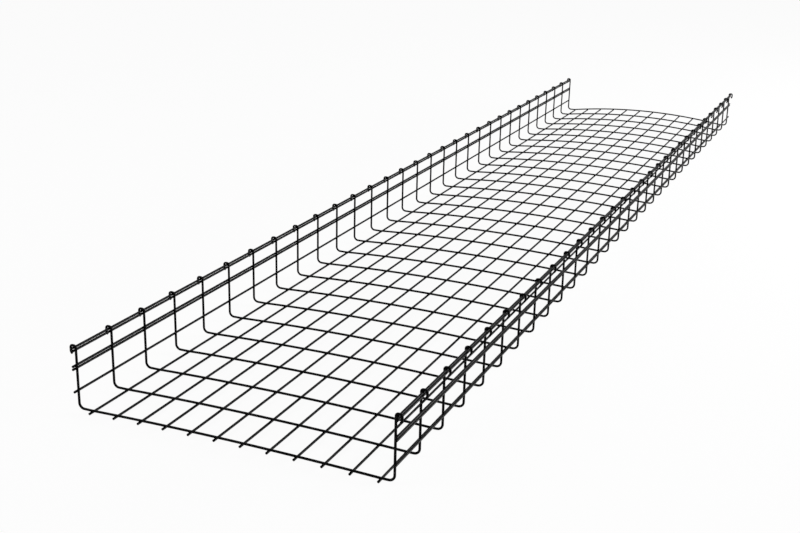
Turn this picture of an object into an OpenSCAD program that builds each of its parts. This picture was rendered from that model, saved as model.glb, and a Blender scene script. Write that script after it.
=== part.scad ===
// Wire mesh cable basket: one straight length, U-shaped, welded from round wire.
// The cross wires run across the floor, turn up both sides and hook over the top rails.
// X is across, Y is along the length, Z is up; the origin is centred under the floor.

/* [Mesh] */
// Wire diameter, the same for every wire
wire_d = 4.5; // [4:0.5:6]
// Number of bays along the length
bays = 30; // [4:1:30]
// Pitch of the cross wires along the length
cross_pitch = 100; // [60:5:150]
// Number of lengthwise wires in the floor
floor_wires = 12; // [4:2:12]
// Pitch of the floor's lengthwise wires
floor_pitch = 50; // [40:5:60]
// Length of wire standing out past the middle of the first and last cross wires
stub = 7; // [5:1:15]
// How far two wires sink into each other at a weld
weld_sink = 0.4; // [0.2:0.1:0.6]

/* [Section] */
// Distance from the outermost floor wire to the middle of the side wall
edge_gap = 25; // [22:1:30]
// Bend radius where the floor turns up, at the middle of the wire
corner_r = 15; // [10:1:18]
// Height of the single low rail above the floor's cross wires
low_rail_z = 31; // [25:1:38]
// Height of the middle pair of rails, at the middle of the pair
mid_rail_z = 76; // [60:1:85]
// Height of the top pair of rails, at the middle of the pair
top_rail_z = 110; // [100:1:120]
// Clear gap between the two wires of a pair of rails
pair_gap = 0.5; // [0.3:0.1:2]
// Rise of the floor's middle at the near end
crown_near = 4; // [0:1:20]
// Rise of the floor's middle at the far end
crown_far = 16; // [0:1:20]

/* [Hooks] */
// Clear width inside the hook, between the upright and the leg
hook_gap = 6; // [5:0.5:8]
// Straight drop of the hook's leg below the top bend
hook_leg = 5; // [3:0.5:8]
// Bend radius of the hook's tip
curl_r = 6; // [4:0.5:8]
// Turn of the hook's tip back towards the upright
hook_curl = 50; // [20:5:60]

/* [Hidden] */
arc_steps = 64;
flats = 8;
across_corners = wire_d / cos(180 / flats);
weld_gap = wire_d - weld_sink;
pair_pitch = wire_d + pair_gap;
span_y = bays * cross_pitch;
first_x = (floor_wires - 1) * floor_pitch / 2;
wall_x = first_x + edge_gap;
run_x = wall_x - corner_r;
arch_x = first_x - edge_gap / 2;
knees = 4;
hook_r = (hook_gap + wire_d) / 2;
hook_z = top_rail_z + pair_pitch / 2 + 0.6;
base_z = weld_gap + wire_d / 2;

// Rise of the floor's middle at a cross wire
function crown(i) = crown_near + (crown_far - crown_near) * i / bays;
// Distance of a knee of the floor run from the middle
function knee_x(k) = arch_x * k / knees;
// Rise of the floor run at a knee, as a share of the rise at the middle
function knee_share(k) = pow(1 - pow(k / knees, 2), 1.5);
// The same share at any x, straight from knee to knee
function share(x) =
    let (step = min(abs(x) / arch_x * knees, knees), k = min(floor(step), knees - 1))
        knee_share(k) + (knee_share(k + 1) - knee_share(k)) * (step - k);

// Corners of a wire's outline
function outline() = [for (n = [0 : flats - 1])
    let (turn = (n + 0.5) * 360 / flats) across_corners / 2 * [cos(turn), sin(turn)]];
// Corners of an upright cut through a cross wire
function ring(x, z) = [for (p = outline()) [x, p[0], z + p[1]]];

module wire_profile() {
    rotate(180 / flats)
        circle(d = across_corners, $fn = flats);
}

// A straight wire standing on its end
module straight(length) {
    linear_extrude(height = length)
        wire_profile();
}

// A bent wire in the XZ plane, between two angles measured from X towards Z
module bend(radius, from, to) {
    rotate([90, 0, 0])
        rotate_extrude(angle = to - from, start = from, $fn = arc_steps)
            translate([radius, 0])
                wire_profile();
}

// A wire along the whole length, its height changing evenly from end to end
module long_wire(x, z0, z1) {
    slope = atan2(z1 - z0, span_y);
    translate([x, -span_y / 2, z0])
        rotate([slope - 90, 0, 0])
            translate([0, 0, -stub])
                straight(span_y / cos(slope) + 2 * stub);
}

// The part of a cross wire that crosses the floor: level at both sides, arched between
module floor_run(c) {
    rings = concat(
        [ring(-run_x, 0)],
        [for (k = [-knees : knees]) ring(knee_x(k), c * knee_share(abs(k)))],
        [ring(run_x, 0)]
    );
    last = len(rings) - 1;
    polyhedron(
        points = [for (r = rings) each r],
        faces = concat(
            [[for (n = [0 : flats - 1]) n]],
            [for (m = [0 : last - 1], n = [0 : flats - 1])
                let (next = (n + 1) % flats)
                    [m * flats + n, (m + 1) * flats + n, (m + 1) * flats + next, m * flats + next]],
            [[for (n = [flats - 1 : -1 : 0]) last * flats + n]]
        )
    );
}

// Corner bend, upright and hook of a cross wire, at the +X side
module side_wire() {
    translate([run_x, 0, corner_r])
        bend(corner_r, -90, 0);
    translate([wall_x, 0, corner_r])
        straight(hook_z - corner_r);
    translate([wall_x + hook_r, 0, hook_z])
        bend(hook_r, 0, 180);
    translate([wall_x + 2 * hook_r, 0, hook_z - hook_leg])
        straight(hook_leg);
    translate([wall_x + 2 * hook_r - curl_r, 0, hook_z - hook_leg])
        bend(curl_r, -hook_curl, 0);
}

// A rail welded to the outside of the uprights
module rail(z) {
    long_wire(wall_x + weld_gap, z, z);
}

// One whole side: 31 uprights and five rails in the length sold
module side() {
    for (i = [0 : bays])
        translate([0, i * cross_pitch - span_y / 2, 0])
            side_wire();
    rail(low_rail_z);
    rail(mid_rail_z - pair_pitch / 2);
    rail(mid_rail_z + pair_pitch / 2);
    rail(top_rail_z - pair_pitch / 2);
    rail(top_rail_z + pair_pitch / 2);
}

module floor_mesh() {
    color([0.05, 0.05, 0.055])
        translate([0, 0, base_z]) {
            for (i = [0 : bays])
                translate([0, i * cross_pitch - span_y / 2, 0])
                    floor_run(crown(i));
            for (x = [-first_x : floor_pitch : first_x])
                long_wire(x, crown_near * share(x) - weld_gap, crown_far * share(x) - weld_gap);
        }
}

module right_side() {
    color([0.06, 0.06, 0.065])
        translate([0, 0, base_z])
            side();
}

module left_side() {
    color([0.06, 0.06, 0.065])
        translate([0, 0, base_z])
            mirror([1, 0, 0])
                side();
}

floor_mesh();
left_side();
right_side();
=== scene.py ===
# A straight length of wire mesh cable basket, welded from round wire and coated black.
# Metres: X across, Y along the length, Z up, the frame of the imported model.
import math

import bpy
import numpy as np
from mathutils import Matrix, Vector


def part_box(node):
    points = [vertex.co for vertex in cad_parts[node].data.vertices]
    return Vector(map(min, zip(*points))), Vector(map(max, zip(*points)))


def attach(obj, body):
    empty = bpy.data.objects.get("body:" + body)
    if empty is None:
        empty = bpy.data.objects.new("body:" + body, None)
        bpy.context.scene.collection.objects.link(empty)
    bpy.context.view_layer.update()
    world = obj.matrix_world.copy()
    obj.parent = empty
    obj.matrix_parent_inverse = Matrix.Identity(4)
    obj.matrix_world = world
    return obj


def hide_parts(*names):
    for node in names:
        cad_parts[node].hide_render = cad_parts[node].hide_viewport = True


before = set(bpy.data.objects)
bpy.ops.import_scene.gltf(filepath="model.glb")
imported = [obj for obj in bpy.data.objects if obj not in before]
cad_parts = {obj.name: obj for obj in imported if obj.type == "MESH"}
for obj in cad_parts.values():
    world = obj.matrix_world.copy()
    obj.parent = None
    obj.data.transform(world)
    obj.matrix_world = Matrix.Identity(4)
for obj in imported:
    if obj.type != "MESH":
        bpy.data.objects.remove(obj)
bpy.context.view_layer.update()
meshLow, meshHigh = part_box("floor_mesh")
wallLow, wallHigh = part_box("right_side")

# The weld mesh that everything below is set out on
mesh = {
    "wire": 0.0045,            # diameter of every wire
    "bays": 30,
    "crossPitch": 0.100,
    "floorPitch": 0.050,
    "floorWires": 12,
    "edgeGap": 0.025,          # outermost floor wire to the middle of the wall
    "crownNear": 0.0045,       # rise of the floor's middle at the near end
    "crownGain": 0.0100,       # what it gains evenly by the far end
    "crownFlare": 0.0065,      # what it gains over the last bays
    "sink": 0.0004,            # how far two wires sink into each other at a weld
}
wireRadius = mesh["wire"] / 2
weldGap = mesh["wire"] - mesh["sink"]
firstX = (mesh["floorWires"] - 1) * mesh["floorPitch"] / 2
wallX = firstX + mesh["edgeGap"]
baseZ = wallLow.z + wireRadius                      # centreline of the flat part of a cross wire
middleY = (meshLow.y + meshHigh.y) / 2
halfSpan = mesh["bays"] * mesh["crossPitch"] / 2
stub = (meshHigh.y - meshLow.y) / 2 - halfSpan
crossY = middleY + np.linspace(-halfSpan, halfSpan, mesh["bays"] + 1)
floorX = np.linspace(-firstX, firstX, mesh["floorWires"])


# The floor's arch: 1 - (x / half width) squared, level outside the outermost floor wires
def archShare(x):
    return np.clip(1 - (x / firstX) ** 2, 0, None)


# Rise of the floor's middle: near rise, plus gain times the share of the length,
# plus flare times the sixth power of that share
def crownAt(y):
    share = np.clip((y - middleY + halfSpan) / (2 * halfSpan), 0, 1)
    return mesh["crownNear"] + mesh["crownGain"] * share + mesh["crownFlare"] * share ** 6


# Points of an arc in the plane of a cross wire: centre plus radius times (cos turn, sin turn),
# with the turn running evenly
def arcPoints(centreX, centreZ, radius, fromDegrees, toDegrees, count):
    turn = np.radians(np.linspace(fromDegrees, toDegrees, count))
    return np.stack([centreX + radius * np.cos(turn), centreZ + radius * np.sin(turn)], axis=1)


# A round wire along each path: every ring is the path's point plus its radius times
# (cos turn along side + sin turn along rise), where rise is the heading crossed with side.
# The marks are the wire's own room: the ring's two coordinates, then the length run from its start.
def sweepWires(paths, radii, side, corners):
    heading = np.gradient(paths, axis=1)
    heading /= np.linalg.norm(heading, axis=2, keepdims=True)
    rise = np.cross(heading, side)
    turn = np.arange(corners) * 2 * math.pi / corners
    ring = (np.cos(turn)[:, None] * side + np.sin(turn)[:, None] * rise[:, :, None, :])
    points = paths[:, :, None, :] + radii[None, :, None, None] * ring
    steps = np.linalg.norm(np.diff(paths, axis=1), axis=2)
    run = np.concatenate([np.zeros((len(paths), 1)), np.cumsum(steps, axis=1)], axis=1)
    marks = np.empty(points.shape)
    marks[..., 0] = np.cos(turn) * radii[:, None]
    marks[..., 1] = np.sin(turn) * radii[:, None]
    marks[..., 2] = run[:, :, None]
    return points, marks


# Faces of swept wires: a quad between each ring and the next, and a flat cap on both ends
def wireFaces(wires, rings, corners):
    index = np.arange(wires * rings * corners).reshape(wires, rings, corners)
    following = np.roll(index, -1, axis=2)
    quads = np.stack([index[:, :-1], following[:, :-1], following[:, 1:], index[:, 1:]], axis=-1)
    caps = np.concatenate([index[:, 0, ::-1], index[:, -1, :]])
    return quads.reshape(-1, 4), caps


# Puts points and faces into one mesh object that rides on the basket, with its marks as "wireRoom".
# Edges that turn by more than sharpDegrees stay sharp.
def makePiece(name, points, faceGroups, material, nodes, marks, sharpDegrees=40):
    data = bpy.data.meshes.new(name)
    sizes = np.concatenate([np.full(len(group), group.shape[1]) for group in faceGroups])
    corners = np.concatenate([group.reshape(-1) for group in faceGroups])
    data.vertices.add(len(points))
    data.vertices.foreach_set("co", points.reshape(-1).astype(np.float32))
    data.loops.add(len(corners))
    data.loops.foreach_set("vertex_index", corners.astype(np.int32))
    data.polygons.add(len(sizes))
    starts = np.concatenate([[0], np.cumsum(sizes)[:-1]])
    data.polygons.foreach_set("loop_start", starts.astype(np.int32))
    data.update(calc_edges=True)
    data.validate()
    data.polygons.foreach_set("use_smooth", np.ones(len(sizes), dtype=bool))
    data.set_sharp_from_angle(angle=math.radians(sharpDegrees))
    layer = data.attributes.new("wireRoom", "FLOAT_VECTOR", "POINT")
    layer.data.foreach_set("vector", marks.reshape(-1).astype(np.float32))
    data.materials.append(material)
    piece = bpy.data.objects.new(name, data)
    bpy.context.scene.collection.objects.link(piece)
    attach(piece, "root")
    if nodes:
        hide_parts(*nodes)
    return piece


# A socket of a shader node with the arithmetic signs on it, so that a formula reads as one
class Value:
    def __init__(self, tree, socket):
        self.tree = tree
        self.socket = socket

    # One node of any type: its settings first, then its inputs as numbers or links
    def node(self, kind, settings=None, inputs=None, output=0):
        made = self.tree.nodes.new(kind)
        for key, setting in (settings or {}).items():
            setattr(made, key, setting)
        for key, value in (inputs or {}).items():
            if isinstance(value, Value):
                self.tree.links.new(value.socket, made.inputs[key])
            else:
                made.inputs[key].default_value = value
        return Value(self.tree, made.outputs[output])

    def maths(self, operation, first, second=0.0, clamp=False):
        return self.node("ShaderNodeMath", {"operation": operation, "use_clamp": clamp},
                         {0: first, 1: second})

    def __add__(self, other):
        return self.maths("ADD", self, other)

    def __radd__(self, other):
        return self.maths("ADD", other, self)

    def __sub__(self, other):
        return self.maths("SUBTRACT", self, other)

    def __rsub__(self, other):
        return self.maths("SUBTRACT", other, self)

    def __mul__(self, other):
        return self.maths("MULTIPLY", self, other)

    def __rmul__(self, other):
        return self.maths("MULTIPLY", other, self)

    def clamped(self):
        return self.maths("ADD", self, 0.0, True)

    # Fine noise at a place, 0 to 1 about a half
    def noise(self, place, scale, detail=2.0, roughness=0.5):
        return self.node("ShaderNodeTexNoise", None,
                         {"Vector": place, "Scale": scale,
                          "Detail": detail, "Roughness": roughness})

    # A blend of two colours by a share from 0 to 1
    def blend(self, share, first, second):
        return self.node("ShaderNodeMix", {"data_type": "RGBA"}, {0: share, 6: first, 7: second}, 2)


def newMaterial(name):
    material = bpy.data.materials.new(name)
    material.use_nodes = True
    tree = material.node_tree
    shader = tree.nodes["Principled BSDF"]
    return material, tree, shader, Value(tree, None)


coating = {
    "black": (0.0014, 0.0014, 0.0015, 1),
    "worn": (0.0034, 0.0034, 0.0036, 1),
    "roughness": 0.30,
    "sheen": 0.030,            # specular level, where 0.5 is a plain gloss
    "peel": 900.0,             # lumps to the metre in the coating's skin
    "cloud": 14.0,             # clouds of slightly worn coating to the metre
    "speck": 2600.0,           # specks to the metre
    "grain": 260.0,            # drawing lines across the wire, squeezed along it
    "squeeze": (6.0, 6.0, 0.05),
    "bumpStrength": 0.35,
    "bumpDistance": 0.00012,
    "ior": 1.45,
}


# Black coating on drawn wire. Colour: black towards a greyer black by a share, which is 0.7 of the
# clouds above 0.42, times 2.2, plus 0.3 of the specks above 0.62, times 4.
# Roughness: its middle value, plus 0.20 times (clouds - 0.5), plus 0.10 times (lines - 0.5).
# Height: orange peel noise plus a third of the lines, which are the marks of drawing.
def coatedWire(name):
    material, tree, shader, kit = newMaterial(name)
    place = kit.node("ShaderNodeTexCoord", output="Object")
    marks = kit.node("ShaderNodeAttribute", {"attribute_name": "wireRoom"}, output="Vector")
    lines = kit.node("ShaderNodeMapping", None, {"Vector": marks, "Scale": coating["squeeze"]})
    drawn = kit.noise(lines, coating["grain"], 3.0, 0.6)
    peel = kit.noise(place, coating["peel"], 2.0, 0.45)
    cloud = kit.noise(place, coating["cloud"], 3.0, 0.6)
    speck = kit.noise(place, coating["speck"], 1.0, 0.5)
    share = ((cloud - 0.42) * 2.2).clamped() * 0.7 + ((speck - 0.62) * 4.0).clamped() * 0.3
    colour = kit.blend(share, coating["black"], coating["worn"])
    rough = coating["roughness"] + (cloud - 0.5) * 0.20 + (drawn - 0.5) * 0.10
    height = peel + drawn * 0.33
    bump = kit.node("ShaderNodeBump", None, {"Strength": coating["bumpStrength"],
                                             "Distance": coating["bumpDistance"], "Height": height})
    tree.links.new(colour.socket, shader.inputs["Base Color"])
    tree.links.new(rough.clamped().socket, shader.inputs["Roughness"])
    tree.links.new(bump.socket, shader.inputs["Normal"])
    shader.inputs["IOR"].default_value = coating["ior"]
    shader.inputs["Specular IOR Level"].default_value = coating["sheen"]
    return material


blackWire = coatedWire("gloss_black_wire")
blackWeld = coatedWire("gloss_black_weld")

# Cross wires: over the floor, up both walls and hooked over the top rails
crossWire = {
    "corner": 0.010,           # bend radius at the floor's edge
    "hookWidth": 0.0105,       # upright to the hook's leg
    "hookBend": 0.0038,        # bend radius on each side of the hook's top
    "hookDrop": 0.0020,        # how far the hook's top stays below the height of the frame
    "hookLeg": 0.0060,         # straight drop of the leg
    "curlRadius": 0.006,
    "curl": 60,                # degrees that the tip turns back in
    "shear": 0.0005,           # rounding of the cut ends
    "corners": 16,
    "floorSteps": 23,          # points from the middle to the outermost floor wire
    "flatRun": 0.008,          # level run past that wire
    "uprightRings": (0.04, 0.075),   # heights of two rings on the upright
    "markStep": 1.7,           # from one wire's marks to the next one's, so that no two look alike
}


# Half of a cross wire from the floor's middle to the hook's tip, joined to its own mirror image.
# Arch, corner arc, upright, two quarter turns with a flat between, leg and curl, evenly stepped.
def crossWirePath(crown):
    bend = crossWire["hookBend"]
    topZ = wallHigh.z - baseZ - wireRadius - crossWire["hookDrop"]
    cornerX = wallX - crossWire["corner"]
    legX = wallX + crossWire["hookWidth"]
    legZ = topZ - bend - crossWire["hookLeg"]
    acrossX = np.append(np.linspace(0, firstX, crossWire["floorSteps"]),
                        firstX + crossWire["flatRun"])
    floorRun = np.stack([acrossX, crown * archShare(acrossX)], axis=1)
    corner = arcPoints(cornerX, crossWire["corner"], crossWire["corner"], -90, 0, 9)
    upright = np.array([[wallX, height] for height in crossWire["uprightRings"]])
    over = arcPoints(wallX + bend, topZ - bend, bend, 180, 90, 7)
    down = arcPoints(legX - bend, topZ - bend, bend, 90, 0, 7)
    curl = arcPoints(legX - crossWire["curlRadius"], legZ, crossWire["curlRadius"],
                     0, -crossWire["curl"], 8)
    half = np.concatenate([floorRun, corner, upright, over, down, curl])
    tip = half[-1] - half[-2]
    tip /= np.linalg.norm(tip)
    half[-1] -= tip * crossWire["shear"]
    half = np.concatenate([half, half[-1:] + tip * crossWire["shear"]])
    mirrored = half[:0:-1] * [-1, 1]
    return np.concatenate([mirrored, half])


crossPaths = np.stack([crossWirePath(c) for c in crownAt(crossY)])
crossPaths = np.stack([crossPaths[..., 0],
                       np.broadcast_to(crossY[:, None], crossPaths.shape[:2]),
                       crossPaths[..., 1] + baseZ], axis=-1)
crossRadii = np.full(crossPaths.shape[1], wireRadius)
crossRadii[[0, -1]] -= crossWire["shear"]
crossPoints, crossMarks = sweepWires(crossPaths, crossRadii, np.array([0.0, 1.0, 0.0]),
                                     crossWire["corners"])
crossMarks[..., 2] += np.arange(len(crossPaths))[:, None, None] * crossWire["markStep"]
quads, caps = wireFaces(*crossPoints.shape[:3])
crossWires = makePiece("cross_wires", crossPoints.reshape(-1, 3), [quads, caps], blackWire,
                       ["floor_mesh", "left_side", "right_side"], crossMarks)
print("cross wires", len(crossPaths), "faces", len(crossWires.data.polygons))

# Lengthwise wires: twelve under the floor and five outside each wall
longWire = {
    "lowRail": 0.031,          # heights above the cross wires of the floor
    "middlePair": 0.076,
    "topPair": 0.1097,
    "pairPitch": 0.0056,       # between the two wires of a pair
    "shear": 0.0006,           # rounding of the cut ends
    "corners": 16,
    "markStep": 3.3,
}
pairHalf = longWire["pairPitch"] / 2
railZ = np.array([longWire["lowRail"],
                  longWire["middlePair"] - pairHalf, longWire["middlePair"] + pairHalf,
                  longWire["topPair"] - pairHalf, longWire["topPair"] + pairHalf])
railX = wallX + weldGap
stepY = np.concatenate([[crossY[0] - stub, crossY[0] - stub + longWire["shear"]], crossY,
                        [crossY[-1] + stub - longWire["shear"], crossY[-1] + stub]])
longRadii = np.full(len(stepY), wireRadius)
longRadii[[0, -1]] -= longWire["shear"]


# Lengthwise wires at the given x and rows of heights, one height to each step along the length.
# The offset keeps the marks of different pieces apart.
def layLongWires(name, wireX, heights, nodes, offset):
    paths = np.stack([np.broadcast_to(wireX[:, None], heights.shape),
                      np.broadcast_to(stepY, heights.shape), heights], axis=-1)
    points, marks = sweepWires(paths, longRadii, np.array([1.0, 0.0, 0.0]), longWire["corners"])
    marks[..., 2] += np.arange(len(wireX))[:, None, None] * longWire["markStep"] + offset
    faces, ends = wireFaces(*points.shape[:3])
    piece = makePiece(name, points.reshape(-1, 3), [faces, ends], blackWire, nodes, marks)
    print(name, len(wireX), "faces", len(piece.data.polygons))


floorHeights = baseZ - weldGap + archShare(floorX)[:, None] * crownAt(stepY)[None, :]
layLongWires("floor_wires", floorX, floorHeights, ["floor_mesh"], 60.0)
railHeights = np.repeat((baseZ + railZ)[:, None], len(stepY), axis=1)
rightX = np.full(len(railZ), railX)
layLongWires("right_rails", rightX, railHeights, ["right_side"], 110.0)
layLongWires("left_rails", -rightX, railHeights, ["left_side"], 130.0)

# Weld nuggets: the metal squeezed out where two wires sink into each other
nugget = {
    "reach": 0.0022,           # middle to edge, towards the four corners of a crossing
    "waist": 0.0015,           # middle to edge, along the wires
    "half": 0.00075,           # half thickness
    "around": 8,
    "bands": 4,
    "sharp": 80,               # degrees, so that the few faces shade as a smooth cushion
}


# A cushion on two parameters: a turn and a climb. Its radius swings four times a turn between
# waist and reach, times the cosine of the climb; its height is half the thickness times the sine.
def nuggetShape():
    turn = np.arange(nugget["around"]) * 2 * math.pi / nugget["around"]
    climb = np.linspace(-math.pi / 2, math.pi / 2, nugget["bands"] + 1)[1:-1]
    swing = (1 - np.cos(4 * turn)) / 2
    radius = nugget["waist"] + (nugget["reach"] - nugget["waist"]) * swing
    flat = np.cos(climb)[:, None] * radius
    rings = np.stack([flat * np.cos(turn), flat * np.sin(turn),
                      np.broadcast_to(nugget["half"] * np.sin(climb)[:, None], flat.shape)],
                     axis=-1)
    poles = np.array([[0, 0, -nugget["half"]], [0, 0, nugget["half"]]])
    index = np.arange(rings[..., 0].size).reshape(len(climb), nugget["around"])
    following = np.roll(index, -1, axis=1)
    quads = np.stack([index[:-1], following[:-1], following[1:], index[1:]], axis=-1).reshape(-1, 4)
    low, high = index.size, index.size + 1
    bottom = np.stack([following[0], index[0], np.full(nugget["around"], low)], axis=-1)
    top = np.stack([index[-1], following[-1], np.full(nugget["around"], high)], axis=-1)
    return np.concatenate([rings.reshape(-1, 3), poles]), quads, np.concatenate([bottom, top])


# The same nugget at every place, its three axes given in turn
def layNuggets(name, places, axes):
    shape, quads, triangles = nuggetShape()
    placed = places[:, None, :] + shape @ np.array(axes, dtype=float)
    shift = (np.arange(len(places)) * len(shape))[:, None, None]
    piece = makePiece(name, placed.reshape(-1, 3),
                      [(quads + shift).reshape(-1, 4), (triangles + shift).reshape(-1, 3)],
                      blackWeld, [], placed, nugget["sharp"])
    print(name, len(places), "faces", len(piece.data.polygons))


gridX, gridY = np.meshgrid(floorX, crossY, indexing="ij")
floorWelds = np.stack([gridX, gridY,
                       baseZ - weldGap / 2 + archShare(gridX) * crownAt(gridY)], axis=-1)
layNuggets("floor_welds", floorWelds.reshape(-1, 3),
           [[1, 0, 0], [0, 1, 0], [0, 0, 1]])
gridZ, gridY = np.meshgrid(railZ + baseZ, crossY, indexing="ij")
for name, hand in (("right_welds", 1), ("left_welds", -1)):
    weldX = np.full(gridZ.shape, hand * (wallX + weldGap / 2))
    wallWelds = np.stack([weldX, gridY, gridZ], axis=-1)
    layNuggets(name, wallWelds.reshape(-1, 3), [[0, 1, 0], [0, 0, 1], [1, 0, 0]])

# The camera stands outside the right wall at the near end, above the rails
camera = {
    "place": (0.9774, -3.0696, 0.9377),
    "turn": -0.407,            # from straight along the basket, in radians
    "dip": 0.326,
    "roll": -0.023,
    "lens": 55.38,
    "sensor": 36.0,
    "clip": (0.05, 60),
}


def setCamera():
    data = bpy.data.cameras.new("camera")
    data.lens = camera["lens"]
    data.sensor_width = camera["sensor"]
    data.clip_start, data.clip_end = camera["clip"]
    turn, dip, roll = camera["turn"], camera["dip"], camera["roll"]
    ahead = Vector((math.sin(turn) * math.cos(dip), math.cos(turn) * math.cos(dip), -math.sin(dip)))
    across = ahead.cross(Vector((0, 0, 1))).normalized()
    down = -across.cross(ahead)
    right = math.cos(roll) * across + math.sin(roll) * down
    up = math.sin(roll) * across - math.cos(roll) * down
    stand = bpy.data.objects.new("camera", data)
    bpy.context.scene.collection.objects.link(stand)
    aim = Matrix((right, up, -ahead)).transposed().to_4x4()
    stand.matrix_world = Matrix.Translation(camera["place"]) @ aim
    bpy.context.scene.camera = stand


setCamera()

# Studio: a white floor that keeps a faint shadow, two soft lamps, a white surround
studio = {
    "floorSize": 400.0,
    "floorWhite": 0.86,
    "floorCloud": 3.0,         # clouds to the metre
    "floorRoughness": 0.9,
    "shadowShare": 0.07,       # the floor's lit share, which holds the shadow
    "surround": 0.40,          # even light from all round
}


# 1 for a ray that shows a background: from the camera, off a gloss or through glass.
# 0 for light on the object.
def showingRay(tree):
    path = tree.nodes.new("ShaderNodeLightPath")
    seen = (Value(tree, path.outputs["Is Camera Ray"]) + Value(tree, path.outputs["Is Glossy Ray"])
            + Value(tree, path.outputs["Is Transmission Ray"]))
    return seen.clamped()


# White floor. Colour: white less a hundredth times slow noise. Where the floor shows, a share of
# 1 - shadowShare is plain white light.
def floorMaterial():
    material, tree, shader, kit = newMaterial("studio_floor")
    place = kit.node("ShaderNodeTexCoord", output="Object")
    dust = kit.noise(place, studio["floorCloud"], 3.0, 0.5)
    white, dusty = studio["floorWhite"], studio["floorWhite"] - 0.01
    colour = kit.blend(dust, (white, white, white, 1), (dusty, dusty, dusty, 1))
    tree.links.new(colour.socket, shader.inputs["Base Color"])
    shader.inputs["Roughness"].default_value = studio["floorRoughness"]
    plain = tree.nodes.new("ShaderNodeEmission")
    plain.inputs["Strength"].default_value = 1.0
    mix = tree.nodes.new("ShaderNodeMixShader")
    tree.links.new((showingRay(tree) * (1 - studio["shadowShare"])).socket, mix.inputs[0])
    tree.links.new(shader.outputs[0], mix.inputs[1])
    tree.links.new(plain.outputs[0], mix.inputs[2])
    tree.links.new(mix.outputs[0], tree.nodes["Material Output"].inputs["Surface"])
    return material


# A square sheet at floor height
def layFloor():
    half = studio["floorSize"] / 2
    data = bpy.data.meshes.new("studio_floor")
    data.from_pydata([(-half, -half, 0), (half, -half, 0), (half, half, 0), (-half, half, 0)],
                     [], [(0, 1, 2, 3)])
    data.materials.append(floorMaterial())
    sheet = bpy.data.objects.new("studio_floor", data)
    bpy.context.scene.collection.objects.link(sheet)


layFloor()


lamps = {
    "side_lamp": {"place": (3.4, 1.6, 0.75), "aim": (0, 0.4, 0.05), "size": (2.6, 1.3), "watts": 340},
    "near_lamp": {"place": (-2.6, -3.6, 2.6), "aim": (0, 0, 0), "size": (2.0, 1.6), "watts": 60},
}


def addLamp(name, place, aim, size, watts):
    data = bpy.data.lights.new(name, "AREA")
    data.shape = "RECTANGLE"
    data.size, data.size_y = size
    data.energy = watts
    lamp = bpy.data.objects.new(name, data)
    bpy.context.scene.collection.objects.link(lamp)
    lamp.location = place
    lamp.rotation_euler = (Vector(aim) - Vector(place)).to_track_quat("-Z", "Y").to_euler()


for name, lamp in lamps.items():
    addLamp(name, **lamp)

# The surround: plain white where it shows, softer as light on the object
world = bpy.data.worlds.new("surround")
bpy.context.scene.world = world
world.use_nodes = True
background = world.node_tree.nodes["Background"]
background.inputs["Color"].default_value = (1, 1, 1, 1)
strength = studio["surround"] + showingRay(world.node_tree) * (1 - studio["surround"])
world.node_tree.links.new(strength.socket, background.inputs["Strength"])

scene = bpy.context.scene
scene.view_settings.view_transform = "Standard"
print("studio set")
